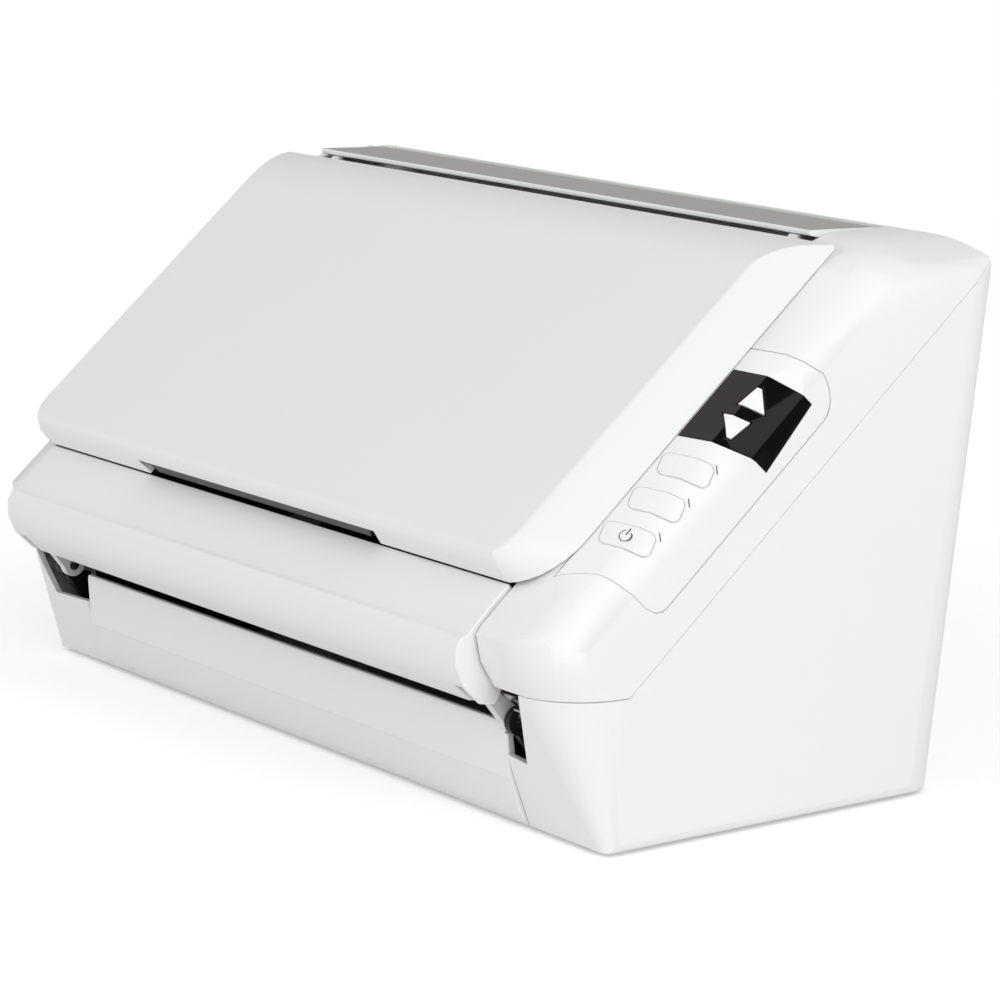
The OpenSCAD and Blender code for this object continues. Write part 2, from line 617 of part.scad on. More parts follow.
// Outline of a gear with short trapezoid teeth
function gear_outline(z, f) = [for (i = [0:z - 1]) let (a = f + i * 360 / z, w = 360 / z)
    for (k = [[-0.32, -1.1], [-0.13, 0.75], [0.13, 0.75], [0.32, -1.1]])
        let (r = pitch_r(z) + k[1] * gear_m, b = a + k[0] * w) [r * cos(b), r * sin(b)]];
module gear(z, f, bore) {
    along_x(gear_x0, gear_x0 + gear_w) difference() {
        polygon(gear_outline(z, f));
        circle(r = bore);
    }
}
module at(p) { translate([0, p[0], p[1]]) children(); }
module chassis_plate() {
    difference() {
        along_x(plate_in, plate_out) polygon([[1.5, floor_top], [-0.5, crease_h], [wall - panel_out + 2, panel_h + 1.5],
            [wall - panel_out + 2, axis_z + 5], sp(24, ramp_under - 0.02), sp(ramp_s1 - 26, ramp_under - 0.02),
            [sy(ramp_s1 - 26, ramp_under) + 2, 80], [base_d - 6, 30], [base_d - 6, floor_top]]);
        rotate([slope, 0, 0]) {
            at(exit_p) rod(plate_in - 1, plate_out + 1, exit_shaft_r + 1.2 + 0.03);
            for (p = [feed_p, pick_p]) at(p) rod(plate_in - 1, plate_out + 1, bush_r + 0.03);
        }
        translate([plate_in - 1, 40, 20]) cube([chassis_t + 2, 50, 34]);
    }
    translate([plate_out, 60, floor_top]) cube([8, 30, 2]);
}
module right_chassis_plate() color([0.12, 0.12, 0.13]) in_frame() chassis_plate();
module left_chassis_plate() color([0.12, 0.12, 0.13]) in_frame() mirror([1, 0, 0]) chassis_plate();

arm_t = 3.2;
arm_x = door_w / 2 - door_wall - arm_t;
bracket_x = arm_x + arm_t + 0.5;
bracket_t = 2.4;
module hinge_bracket() difference() {
    union() {
        translate([0, axis_y, axis_z]) rod(bracket_x, bracket_x + bracket_t, door_pin_r + 2.4);
        along_x(bracket_x, bracket_x + bracket_t) polygon([[axis_y - 1, axis_z - 3.6], [-1.5, 20], [5, floor_top],
            [26, floor_top], [14, 24], [axis_y + 5, axis_z - 3]]);
    }
    translate([0, axis_y, axis_z]) rod(bracket_x - 1, bracket_x + bracket_t + 1, door_pin_r + run_gap);
}
module right_hinge_bracket() color([0.12, 0.12, 0.13]) in_frame() hinge_bracket();
module left_hinge_bracket() color([0.12, 0.12, 0.13]) in_frame() mirror([1, 0, 0]) hinge_bracket();

exit_x = [-84, -30, 30, 84];
exit_l = 14;
feed_x = [-22, 22];
feed_l = 20;
pick_x = [-16, 16];
pick_l = 12;
sensor_s0 = 27.2;
sensor_s1 = 36.8;
sensor_w = sheet_w - 2.4;
glass_t = 1.1;
sensor_h = 10;
module window(s, n0, n1, half_s, xs, l) {
    for (x = xs) translate([x - l / 2 - 1, s - half_s, n0]) cube([l + 2, 2 * half_s, n1 - n0]);
}
module lower_guide() color([0.1, 0.1, 0.1]) on_slope() difference() {
    union() {
        along_x(-guide_w / 2, guide_w / 2) polygon([[17.2, surface_n - 1.2], [18.2, surface_n], [56.6, surface_n],
            [56.6, ramp_under], [18.6, ramp_under]]);
        for (x = [-60, 0, 60]) translate([x - 1, 18.2, surface_n - 0.01]) cube([2, 8.4, 0.2]);
    }
    window(exit_s, 20, 40, exit_r + 0.6, exit_x, exit_l);
    translate([-guide_w, exit_s - exit_shaft_r - 0.5, 20]) cube([2 * guide_w, 2 * exit_shaft_r + 1, exit_n + exit_shaft_r + 0.5 - 20]);
    window(feed_s, 20, 40, feed_r + 0.5, feed_x, feed_l);
    translate([-sensor_w / 2 - 0.2, sensor_s0 - 0.2, 20]) cube([sensor_w + 0.4, sensor_s1 - sensor_s0 + 0.4, 20]);
}
module image_sensor(side) {
    // side is 1 for a body above its glass and -1 for one below it
    face = side > 0 ? path_n + 0.5 + glass_t : surface_n - glass_t;
    difference() {
        translate([-sensor_w / 2, sensor_s0, side > 0 ? face : face - sensor_h])
            cube([sensor_w, sensor_s1 - sensor_s0, sensor_h]);
        translate([-sensor_w / 2 - 1, sensor_s0 + 3.4, side > 0 ? face + sensor_h - 2 : face - sensor_h - 1])
            cube([sensor_w + 2, 2.8, 3]);
    }
}
module lower_image_sensor() color([0.2, 0.2, 0.22]) on_slope() image_sensor(-1);
module lower_sensor_glass() color([0.5, 0.6, 0.62]) on_slope()
    translate([-sensor_w / 2, sensor_s0, surface_n - glass_t]) cube([sensor_w, sensor_s1 - sensor_s0, glass_t]);
module upper_image_sensor() color([0.2, 0.2, 0.22]) on_slope() image_sensor(1);
module upper_sensor_glass() color([0.5, 0.6, 0.62]) on_slope()
    translate([-sensor_w / 2, sensor_s0, path_n + 0.5]) cube([sensor_w, sensor_s1 - sensor_s0, glass_t]);

// The sloping floor that the paper lies on, with its side walls
channel_x = bay_x - 5;
ledge_n = deck_n - 8.6;
slot_s = [102.9, 121.1];
rack_t = 4;
guide_travel = 70;
pinion_s = 112;
rack_z = 16;
post_x = guide_gap / 2 - 6;
module paper_ramp() color([0.22, 0.22, 0.23]) on_slope() difference() {
    union() {
        along_s(ramp_s0, ramp_s1) polygon([[-channel_x, surface_n - ramp_t], [channel_x, surface_n - ramp_t],
            [channel_x, ledge_n - 2], [bay_x - 0.5, ledge_n - 2], [bay_x - 0.5, ledge_n], [channel_x - 2, ledge_n],
            [channel_x - 2, surface_n], [2 - channel_x, surface_n], [2 - channel_x, ledge_n], [0.5 - bay_x, ledge_n],
            [0.5 - bay_x, ledge_n - 2], [-channel_x, ledge_n - 2]]);
        for (i = [-4:4]) translate([i * 22 - 0.6, ramp_s0, surface_n - 0.01]) cube([1.2, 34, 0.21]);
        translate([0, pinion_s, ramp_under - 6]) cylinder(r = 2, h = 6.01);
    }
    window(pick_s, 20, 40, 6.6, pick_x, pick_l);
    translate([-post_x - 3, slot_s[0] - 1.6, 20]) cube([guide_travel + 6, 3.2, 20]);
    translate([post_x + 3 - guide_travel - 6, slot_s[1] - 1.6, 20]) cube([guide_travel + 6, 3.2, 20]);
    // The upper corners clear the top plate and its hinge
    along_x(-bay_x, bay_x) polygon([[ramp_s1 - 26, 60], [ramp_s1 + 1, 41], [ramp_s1 + 1, 60]]);
}
module bush(r_in, r_out, p) difference() {
    at(p) {
        rod(plate_in - 0.4, plate_out + 0.6, r_out);
        rod(plate_out, plate_out + 0.8, r_out + 0.8);
    }
    at(p) rod(plate_in - 2, plate_out + 2, r_in + run_gap);
}
module shaft_bushes() color("goldenrod") on_slope() both_sides() {
    bush(feed_shaft_r, bush_r, feed_p);
    bush(feed_shaft_r, bush_r, pick_p);
    bush(exit_shaft_r, exit_shaft_r + 1.2, exit_p);
}
shaft_end = plate_out + 1.6;
module feed_shaft() color("silver") on_slope() at(feed_p) {
    rod(-shaft_end, gear_x0 + gear_w + 0.5, feed_shaft_r);
    for (x = feed_x) rod(x - feed_l / 2, x + feed_l / 2, feed_r - 2);
    gear(feed_z, feed_f, feed_shaft_r - 0.1);
}
module feed_tyres() color([0.2, 0.2, 0.2]) on_slope() at(feed_p) for (x = feed_x) difference() {
    rod(x - feed_l / 2, x + feed_l / 2, feed_r);
    rod(x - feed_l / 2 - 1, x + feed_l / 2 + 1, feed_r - 1.97);
}
module pick_shaft() color("silver") on_slope() at(pick_p) {
    rod(-shaft_end, gear_x0 + gear_w + 0.5, feed_shaft_r);
    for (x = pick_x) rod(x - pick_l / 2, x + pick_l / 2, feed_r - 2);
    gear(pick_z, pick_f, feed_shaft_r - 0.1);
}
module pick_tyres() color([0.2, 0.2, 0.2]) on_slope() at(pick_p) for (x = pick_x) difference() {
    rod(x - pick_l / 2, x + pick_l / 2, feed_r);
    rod(x - pick_l / 2 - 1, x + pick_l / 2 + 1, feed_r - 1.97);
}
module exit_shaft() color("silver") on_slope() at(exit_p) {
    rod(-shaft_end, gear_x0 + gear_w + 0.5, exit_shaft_r);
    gear(exit_z, exit_f, exit_shaft_r - 0.1);
}
module exit_tyres() color([0.2, 0.2, 0.2]) on_slope() at(exit_p) for (x = exit_x) difference() {
    rod(x - exit_l / 2, x + exit_l / 2, exit_r);
    rod(x - exit_l / 2 - 1, x + exit_l / 2 + 1, exit_shaft_r + 0.03);
}
stud_pin_r = 2;
module gear_studs() color("silver") on_slope() for (p = [exit_idler_p, pick_idler_p]) at(p) {
    rod(gear_x0 - 0.3, gear_x0 + gear_w + 0.6, stud_pin_r);
    rod(plate_out, gear_x0 - 0.3, stud_pin_r + 0.8);
}
module exit_idler_gear() color("ivory") on_slope() at(exit_idler_p)
    gear(exit_idler_z, exit_idler_f, stud_pin_r + run_gap);
module pick_idler_gear() color("ivory") on_slope() at(pick_idler_p)
    gear(pick_idler_z, pick_idler_f, stud_pin_r + run_gap);
motor_w = 30;
motor_l = 21;
motor_x = gear_x0 + gear_w + 1.4;
module drive_motor() color("dimgray") on_slope() at(motor_p) difference() {
    union() {
        translate([motor_x, -motor_w / 2, -motor_w / 2]) cube([motor_l, motor_w, motor_w]);
        rod(gear_x0 + gear_w + 0.2, motor_x, 6);
        rod(gear_x0 + 0.4, motor_x, 1.4);
    }
    for (a = [45:90:315]) rotate([a, 0, 0]) translate([0, motor_w * 0.66, 0])
        translate([motor_x - 1, -2, -4]) cube([motor_l + 2, 4, 8]);
}
module motor_pinion() color("ivory") on_slope() at(motor_p) gear(pinion_z, motor_f, 1.4 + run_gap);

// Side guides, drawn towards the middle by one pinion
guide_pitch = PI * gear_m;
module side_guide() {
    // Drawn as the right guide; the left one is the same piece turned half round
    blade_x = guide_gap / 2;
    translate([blade_x, 66, surface_n + 0.25]) cube([2, 84, blade_h]);
    translate([blade_x - 12, 66, surface_n + 0.25]) cube([12.01, 84, 1.2]);
    row = slot_s[1];
    translate([post_x - 2.4, row - 1.2, ramp_under - 0.6]) cube([4.8, 2.4, surface_n + 0.5 - ramp_under + 0.6]);
    tooth_line = pinion_s + pitch_r(rack_z) + 0.15;
    translate([-7, tooth_line + 1.1 * gear_m, ramp_under - 0.4 - rack_t])
        cube([post_x + 9.4, row + 1.2 - tooth_line - 1.1 * gear_m, rack_t]);
    count = floor((post_x - 2) / guide_pitch);
    for (i = [-2:count]) translate([i * guide_pitch, tooth_line, ramp_under - 0.4 - rack_t])
        linear_extrude(rack_t) polygon([[-0.32 * guide_pitch, 1.15 * gear_m], [-0.13 * guide_pitch, -0.7 * gear_m],
            [0.13 * guide_pitch, -0.7 * gear_m], [0.32 * guide_pitch, 1.15 * gear_m]]);
}
module right_side_guide() color([0.25, 0.25, 0.26]) on_slope() side_guide();
module left_side_guide() color([0.25, 0.25, 0.26]) on_slope() translate([0, 2 * pinion_s, 0]) rotate(180) side_guide();
module guide_pinion() color("ivory") on_slope() translate([0, pinion_s, ramp_under - 0.6 - rack_t])
    linear_extrude(rack_t) difference() {
        polygon(gear_outline(rack_z, 90 + 180 / rack_z));
        circle(r = 2 + run_gap);
    }

// ---------------------------------------------------------------- front door

door_n = deck_n - 0.3;
door_s1 = 38.2;
function door_outline(t) = [[-14.2, 37.6 + 0.6 * t], [0.3 * t - 19, 38.3 + t], [0.7 * t - 25, 44.2 + 0.7 * t],
    [t - door_out, 49.6], [t - door_out, 54.6], [0.8 * t - 25.6, 57.9 - 0.6 * t], sp(20, door_n - 0.5 - t),
    sp(28, door_n - t), sp(door_s1 - 0.4 * t, door_n - t), sp(door_s1 - 0.4 * t, door_n - 9),
    sp(door_s1 - door_wall, door_n - 9), sp(door_s1 - door_wall, door_n - 5 - t), sp(24, 44), sp(16, 38.6)];
module door_cover() color("white") in_frame() {
    hollow_x = door_w / 2 - door_wall;
    difference() {
        along_x(-door_w / 2, door_w / 2) polygon(door_outline(0));
        along_x(-hollow_x, hollow_x) polygon([[-10, 38 + 0.6 * door_wall],
            [0.3 * door_wall - 19, 38.3 + door_wall], [0.7 * door_wall - 25, 44.2 + 0.7 * door_wall],
            [door_wall - door_out, 49.6], [door_wall - door_out, 54.6],
            [0.8 * door_wall - 25.6, 57.9 - 0.6 * door_wall], sp(20, door_n - 0.5 - door_wall),
            sp(28, door_n - door_wall), sp(door_s1 - door_wall, door_n - door_wall), sp(door_s1 - door_wall, 30)]);
        // Slots for the arms, and a clear path at both ends
        both_sides() along_x(arm_x - 0.2, hollow_x) polygon([[-24, 34], [-9, 34], [-9, 47], [-24, 47]]);
        rotate([slope, 0, 0]) along_x(-door_w / 2 - 1, door_w / 2 + 1) polygon([[22, 30], [60, 30], [60, 51], [34, 47],
            [22, 40]]);
    }
}
guide_face = path_n + 0.5;
guide_t = 2;
rib_s1 = door_s1 - door_wall - 0.6;
module door_guide() color([0.1, 0.1, 0.1]) on_slope() difference() {
    union() {
        along_x(-guide_w / 2, guide_w / 2) polygon([[15.4, guide_face + 0.8], [16.6, guide_face], [50.4, guide_face],
            [50.9, guide_face + guide_t], [15.4, guide_face + guide_t]]);
        both_sides() along_x(guide_w / 2 - 2.4, guide_w / 2) polygon([[17, guide_face + 1], [44, guide_face + 1],
            [rib_s1, door_n - 11], [rib_s1, door_n - door_wall - 2.2], [24, door_n - door_wall - 2.2]]);
        both_sides() along_x(50, 52) polygon([[24, guide_face + 1], [rib_s1, guide_face + 1],
            [rib_s1, door_n - door_wall - 0.02], [28.4, door_n - door_wall - 0.02], [24, door_n - door_wall - 0.5]]);
        for (x = exit_x) for (i = [-1, 1]) along_x(x + i * (exit_l / 2 + 1.4) - 0.8, x + i * (exit_l / 2 + 1.4) + 0.8)
            polygon([[exit_s - 2.6, guide_face + 1], [exit_s + 2.6, guide_face + 1],
                [exit_s + 2.2, guide_face + 6.2], [exit_s - 2.2, guide_face + 6.2]]);
    }
    window(exit_s, 30, 39, 4.1, exit_x, exit_l - 1.2);
    at([exit_s, path_n + 0.2 + idler_r]) rod(-110, 110, idler_pin_r + run_gap);
    window(feed_s, 30, 50, separation_r + 0.4, [0], 24);
    translate([-sensor_w / 2 - 0.2, sensor_s0 - 0.2, 30])
        cube([sensor_w + 0.4, sensor_s1 - sensor_s0 + 0.4, sensor_h + 12]);
}
idler_r = 3.4;
idler_pin_r = 1.2;
module exit_idlers() color("silver") on_slope() at([exit_s, path_n + 0.2 + idler_r]) {
    rod(exit_x[0] - exit_l / 2 - 3, exit_x[3] + exit_l / 2 + 3, idler_pin_r);
    for (x = exit_x) rod(x - exit_l / 2 + 1, x + exit_l / 2 - 1, idler_r);
}
separation_n = path_n + 0.2 + separation_r;
separation_pin_r = 1.5;
module separation_roller() color([0.5, 0.5, 0.52]) on_slope() at([feed_s, separation_n]) {
    rod(-8, 8, separation_r);
    rod(-12.4, 12.4, separation_pin_r);
}
module separation_holder() color([0.15, 0.15, 0.16]) on_slope() difference() {
    union() {
        both_sides() along_x(10, 12.2) polygon([[41, guide_face + guide_t], [50.6, guide_face + guide_t],
            [51, separation_n], [48.6, separation_n + 3], [42, separation_n + 10], [39.4, separation_n + 10]]);
        along_x(-12.2, 12.2) polygon([[39.4, separation_n + 8], [44.2, separation_n + 8], [42, separation_n + 10],
            [39.4, separation_n + 10]]);
    }
    at([feed_s, separation_n]) rod(-20, 20, separation_pin_r + run_gap);
}
module door_arm() difference() {
    union() {
        translate([0, axis_y, axis_z]) rod(arm_x, arm_x + arm_t, door_pin_r + 2.1);
        along_x(arm_x, arm_x + arm_t) polygon([[axis_y - 1.6, axis_z - 3.2], [axis_y + 1.2, axis_z + 3.5],
            [-13, 41.5], [-15, 52], [-24, 52.5], [-24.2, 47.5], [-18, 41.4]]);
    }
    translate([0, axis_y, axis_z]) rod(arm_x - 1, arm_x + arm_t + 1, door_pin_r + 0.02);
}
module door_arms() color([0.9, 0.9, 0.9]) in_frame() both_sides() door_arm();
module door_pins() color("silver") in_frame() both_sides()
    translate([0, axis_y, axis_z]) rod(arm_x, bracket_x + bracket_t, door_pin_r);

// ---------------------------------------------------------------- tray

lid_rim_n = deck_n + 0.4;
// Where the deck begins to bend
bend_s = s_at(bend_y - bend_r * sin(slope), bend_z + bend_r * cos(slope));
lid_top_n = lid_rim_n + lid_h;
lid_s0 = 38;
plate_front_y = top_front_y + 0.2;
lid_rear_y = plate_front_y - 3;
lid_axis_y = plate_front_y - 0.6;
lid_top_z = body_h - 1.1;
lid_axis_z = lid_top_z - 3.3;
// The curl is an arc that is tangent to the slope and to the horizontal
curl_cz = lid_top_z - lid_curl_r;
curl_cy = (curl_cz * cos(slope) + lid_curl_r - lid_top_n) / sin(slope);
function lid_outline(t) = concat([sp(lid_s0 + t, lid_rim_n - (t > 0 ? 1 : 0)), sp(lid_s0 + t, lid_top_n - 5),
    sp(lid_s0 + 0.4 + t, lid_top_n - 2.6 - t), sp(lid_s0 + 1.4 + t, lid_top_n - 0.9 - t),
    sp(lid_s0 + 3.6 + t, lid_top_n - t)],
    arc(curl_cy, curl_cz, lid_curl_r - t, 90 + slope, 90, 6),
    [[lid_rear_y - t, lid_top_z - t], [lid_rear_y - t, lid_top_z - 5.5 - (t > 0 ? 1 : 0)],
     sp(bend_s - 16, lid_rim_n - (t > 0 ? 1 : 0))]);
// Rounded outlines of the lid from its rim up: [N, inset from the rim, S of the lower edge, less corner radius, share of the wall]
lid_levels = [[lid_rim_n - 30, 0, lid_s0 + 20, 0, 0], [lid_rim_n, 0, lid_s0 - 0.7, 0, 0],
    [lid_rim_n + 0.55 * lid_h, 6.2, lid_s0 - 0.9, 6, 0.5], [lid_top_n - 0.6, 10.9, lid_s0 - 0.1, 9, 0.9],
    [lid_top_n, 12.5, lid_s0 + 1.5, 10, 1]];
module lid_body(t) intersection() {
    along_x(-lid_rim_w / 2, lid_rim_w / 2) polygon(lid_outline(t));
    rotate([slope, 0, 0]) hull() for (v = lid_levels) {
        x = lid_rim_w / 2 - v[1] - t;
        r = lid_corner_r - v[3] - t;
        n = v[0] - v[4] * t - 0.01;
        for (i = [-1, 1]) translate([i * (x - r), v[2] + t + r, n]) cylinder(r = r, h = 0.01, $fn = 32);
        translate([-x, 219, n]) cube([2 * x, 1, 0.01]);
    }
}
rail_x = extension_w / 2 + 1.2;
notch_h = 5.6;
extension_n = lid_rim_n + 1.6;
extension_s0 = lid_s0 + 0.8;
extension_s1 = bend_s - 29;
rail_top = extension_n + extension_t + 1.4;
lid_pin_r = 1.1;
ear_r = 2.2;
ear_t = 4;
lid_ear_x = plate_w / 2 - 14.1;
plate_ear_x = lid_ear_x + ear_t + 0.4;
plate_pin_x = plate_ear_x + ear_t + 0.3;
module lid_ear(x) difference() {
    along_x(x, x + ear_t) union() {
        translate([lid_axis_y, lid_axis_z]) circle(r = ear_r);
        polygon([[lid_axis_y, lid_axis_z + ear_r], [lid_axis_y, lid_axis_z - ear_r], [lid_rear_y - 3, lid_axis_z - 1.5],
            [lid_rear_y - 3, lid_axis_z + 2], [lid_rear_y - 0.6, lid_axis_z + 2]]);
    }
    translate([0, lid_axis_y, lid_axis_z]) rod(x - 1, x + ear_t + 1, lid_pin_r + run_gap);
}
module tray_lid() color([0.93, 0.93, 0.93]) in_frame() {
    difference() {
        lid_body(0);
        lid_body(lid_wall);
        // Notch in the rim that shows the grip of the extension
        rotate([slope, 0, 0]) along_s(10, lid_s0 + lid_wall + 1) polygon([[-rail_x - 0.6, lid_rim_n - 5],
            [rail_x + 0.6, lid_rim_n - 5], [rail_x + 0.6, lid_rim_n + 0.6], [rail_x + 2.2, lid_rim_n + notch_h],
            [-rail_x - 2.2, lid_rim_n + notch_h], [-rail_x - 0.6, lid_rim_n + 0.6]]);
        // Over the caps the lid stays above their slope and ends short of their crown
        both_sides() {
            rotate([slope, 0, 0]) along_x(bay_x - 0.6, bay_x + 30)
                polygon([[90, lid_rim_n - 40], [180, lid_rim_n - 40], [180, lid_rim_n], [90, lid_rim_n]]);
            translate([bay_x - 0.6, lid_rear_y - 0.4, 120]) cube([40, 20, 60]);
        }
    }
    both_sides() {
        lid_ear(lid_ear_x);
        rotate([slope, 0, 0]) along_s(lid_s0 + 7, bend_s - 21) polygon([[rail_x, extension_n - 0.1],
            [rail_x + 2, extension_n - 0.1], [rail_x + 2, lid_top_n - lid_wall + 0.2],
            [rail_x, lid_top_n - lid_wall + 0.2], [rail_x, rail_top], [rail_x - 3, rail_top],
            [rail_x - 3, extension_n + extension_t + 0.2], [rail_x, extension_n + extension_t + 0.2]]);
    }
}
liner_x = lid_rim_w / 2 - 8.6;
liner_l = bend_s - lid_s0 - 25;
module tray_liner() color([0.25, 0.25, 0.26]) on_slope() difference() {
    translate([-liner_x, lid_s0 + 9, lid_rim_n + 0.2]) cube([2 * liner_x, liner_l, 1.2]);
    for (m = [0, 1]) mirror([m, 0, 0]) translate([liner_x, lid_s0 + 9, lid_rim_n]) rotate(45)
        cube([20, 20, 4], center = true);
}
module tray_extension() color([0.25, 0.25, 0.26]) on_slope() {
    x = extension_w / 2;
    along_n(extension_n, extension_n + extension_t) polygon([[3 - x, extension_s0], [x - 3, extension_s0],
        [x, extension_s0 + 4], [x, extension_s1], [-x, extension_s1], [-x, extension_s0 + 4]]);
    // Grip
    along_s(extension_s0, extension_s0 + 3) polygon([[3 - x, extension_n - 0.8], [x - 3, extension_n - 0.8],
        [x - 0.6, extension_n + 3.6], [0.6 - x, extension_n + 3.6]]);
}
plate_top_z = body_h + 1.1;
barrel_r = 2.6;
module top_plate() color([0.6, 0.59, 0.58]) in_frame() {
    difference() {
        along_x(-plate_w / 2, plate_w / 2) union() {
            polygon([[plate_front_y + 3, plate_top_z - plate_t], [plate_front_y, plate_top_z - 0.65 * plate_t],
                [plate_front_y, plate_top_z - 0.5],
                [plate_front_y + 0.5, plate_top_z], [plate_axis_y, plate_axis_z + barrel_r],
                [plate_axis_y, plate_axis_z + barrel_r - plate_t]]);
            translate([plate_axis_y, plate_axis_z]) circle(r = barrel_r);
        }
        translate([0, plate_axis_y, plate_axis_z]) both_sides() rod(plate_pin_x, plate_w / 2 + 1, plate_pin_r + 0.02);
    }
    both_sides() difference() {
        along_x(plate_ear_x, plate_ear_x + ear_t) union() {
            translate([lid_axis_y, lid_axis_z]) circle(r = ear_r);
            polygon([[lid_axis_y, lid_axis_z + ear_r], [lid_axis_y, lid_axis_z - ear_r],
                [plate_front_y + 8, plate_top_z - plate_t - 2], [plate_front_y + 8, plate_top_z - plate_t + 0.4],
                [plate_front_y + 0.4, plate_top_z - plate_t + 0.4]]);
        }
        translate([0, lid_axis_y, lid_axis_z]) rod(plate_ear_x - 1, plate_ear_x + ear_t + 1, lid_pin_r + 0.02);
    }
}
module plate_pins() color("silver") in_frame() both_sides()
    translate([0, plate_axis_y, plate_axis_z]) rod(plate_pin_x, bay_x + wall + 3.6, plate_pin_r);
module lid_pins() color("silver") in_frame() both_sides()
    translate([0, lid_axis_y, lid_axis_z]) rod(lid_ear_x - 0.6, plate_ear_x + ear_t, lid_pin_r);

// ---------------------------------------------------------------- output

base_plate();
rubber_feet();
base_screws();
front_panel();
left_side_cover();
right_side_cover();
left_top_cap();
right_top_cap();
rear_cover();
control_insert();
display_window();
control_board();
button_up();
button_down();
button_cancel();
button_scan();
button_power();
left_chassis_plate();
right_chassis_plate();
left_hinge_bracket();
right_hinge_bracket();
lower_guide();
lower_image_sensor();
lower_sensor_glass();
paper_ramp();
shaft_bushes();
feed_shaft();
feed_tyres();
pick_shaft();
pick_tyres();
exit_shaft();
exit_tyres();
exit_idler_gear();
pick_idler_gear();
gear_studs();
drive_motor();
motor_pinion();
main_board();
dc_jack();
usb_port();
left_side_guide();
right_side_guide();
guide_pinion();
door_cover();
door_guide();
upper_image_sensor();
upper_sensor_glass();
door_arms();
door_pins();
separation_roller();
separation_holder();
exit_idlers();
top_plate();
plate_pins();
tray_lid();
lid_pins();
tray_liner();
tray_extension();
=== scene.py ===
# %% [markdown]
# # A sheet fed document scanner, closed for storage
# A desktop scanner pulls sheets from a tray, past two image bars, and out through the slot at its front.
# Here its tray is folded shut: a big lid lies on the slope, and a narrow plate lies behind it.
# The measured solids come in as a fixed frame. This lesson rounds their edges, adds the small parts,
# gives every part the finish of its real material, and sets up the light and the camera.

import json
import math

import bmesh
import bpy
from mathutils import Matrix, Vector

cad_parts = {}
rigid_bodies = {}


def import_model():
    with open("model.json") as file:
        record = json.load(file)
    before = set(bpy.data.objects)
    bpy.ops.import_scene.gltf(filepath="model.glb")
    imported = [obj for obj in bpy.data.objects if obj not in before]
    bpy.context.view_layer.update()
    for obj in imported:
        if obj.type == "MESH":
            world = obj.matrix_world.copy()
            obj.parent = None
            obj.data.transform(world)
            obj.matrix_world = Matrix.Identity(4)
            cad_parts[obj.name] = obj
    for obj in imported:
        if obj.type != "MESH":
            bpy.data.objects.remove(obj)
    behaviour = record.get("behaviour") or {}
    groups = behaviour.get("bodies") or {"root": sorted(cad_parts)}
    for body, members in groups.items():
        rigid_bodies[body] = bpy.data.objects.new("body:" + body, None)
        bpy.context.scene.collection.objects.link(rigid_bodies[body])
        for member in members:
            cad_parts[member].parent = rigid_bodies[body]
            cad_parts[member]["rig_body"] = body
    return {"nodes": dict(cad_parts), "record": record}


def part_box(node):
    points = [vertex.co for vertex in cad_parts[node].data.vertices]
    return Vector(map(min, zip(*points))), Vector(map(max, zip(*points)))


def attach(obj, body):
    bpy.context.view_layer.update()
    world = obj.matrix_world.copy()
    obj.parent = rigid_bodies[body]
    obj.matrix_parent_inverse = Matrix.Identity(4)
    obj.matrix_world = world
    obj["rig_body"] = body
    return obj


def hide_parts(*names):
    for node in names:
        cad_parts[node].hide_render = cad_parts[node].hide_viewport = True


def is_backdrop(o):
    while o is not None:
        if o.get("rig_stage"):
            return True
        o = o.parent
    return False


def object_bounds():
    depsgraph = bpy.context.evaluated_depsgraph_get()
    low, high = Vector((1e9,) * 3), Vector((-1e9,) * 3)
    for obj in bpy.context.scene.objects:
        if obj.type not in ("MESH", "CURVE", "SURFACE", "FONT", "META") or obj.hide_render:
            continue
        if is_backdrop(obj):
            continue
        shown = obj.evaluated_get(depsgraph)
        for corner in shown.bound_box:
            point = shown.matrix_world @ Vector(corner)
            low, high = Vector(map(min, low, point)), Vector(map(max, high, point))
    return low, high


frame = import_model()
cad_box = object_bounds()
nodes = frame["nodes"]

# %% [markdown]
# ## Two ways to say where something is
# A scanner designer works from the front edge of the base, in millimetres, with X to the right,
# Y to the rear and Z up. Much of this machine lies on a slope, so a second pair of axes follows it:
# S runs up the lid, and N stands square to it. Two small functions turn either into the frame's metres.

# %% Places in millimetres, turned into metres
MM = 0.001
MIDDLE_X = 7.3
MIDDLE_Y = 55.786
FOOT = 1.2
SLOPE = math.radians(40.2)


def place(x, y, z):
    return Vector((x - MIDDLE_X, y - MIDDLE_Y, z + FOOT)) * MM


def on_slope(x, s, n):
    return place(x, s * math.cos(SLOPE) - n * math.sin(SLOPE), s * math.sin(SLOPE) + n * math.cos(SLOPE))


print("lid middle at", [round(v, 4) for v in on_slope(0, 100, 72)])

# %% [markdown]
# ## Colour and nodes
# Colours are picked as they look on a screen, in sRGB, but the shader works in linear light.
# One function turns a hex value to linear, and one adds any node with its settings and links.

# %% Colour and node helpers
def colour(hex_value):
    parts = [int(hex_value[i:i + 2], 16) / 255 for i in (1, 3, 5)]
    return [p / 12.92 if p <= 0.04045 else ((p + 0.055) / 1.055) ** 2.4 for p in parts] + [1.0]


def add(tree, kind, inputs=None, **settings):
    node = tree.nodes.new(kind)
    for name, value in settings.items():
        setattr(node, name, value)
    for name, value in (inputs or {}).items():
        if isinstance(value, bpy.types.NodeSocket):
            tree.links.new(value, node.inputs[name])
        else:
            node.inputs[name].default_value = value
    return node


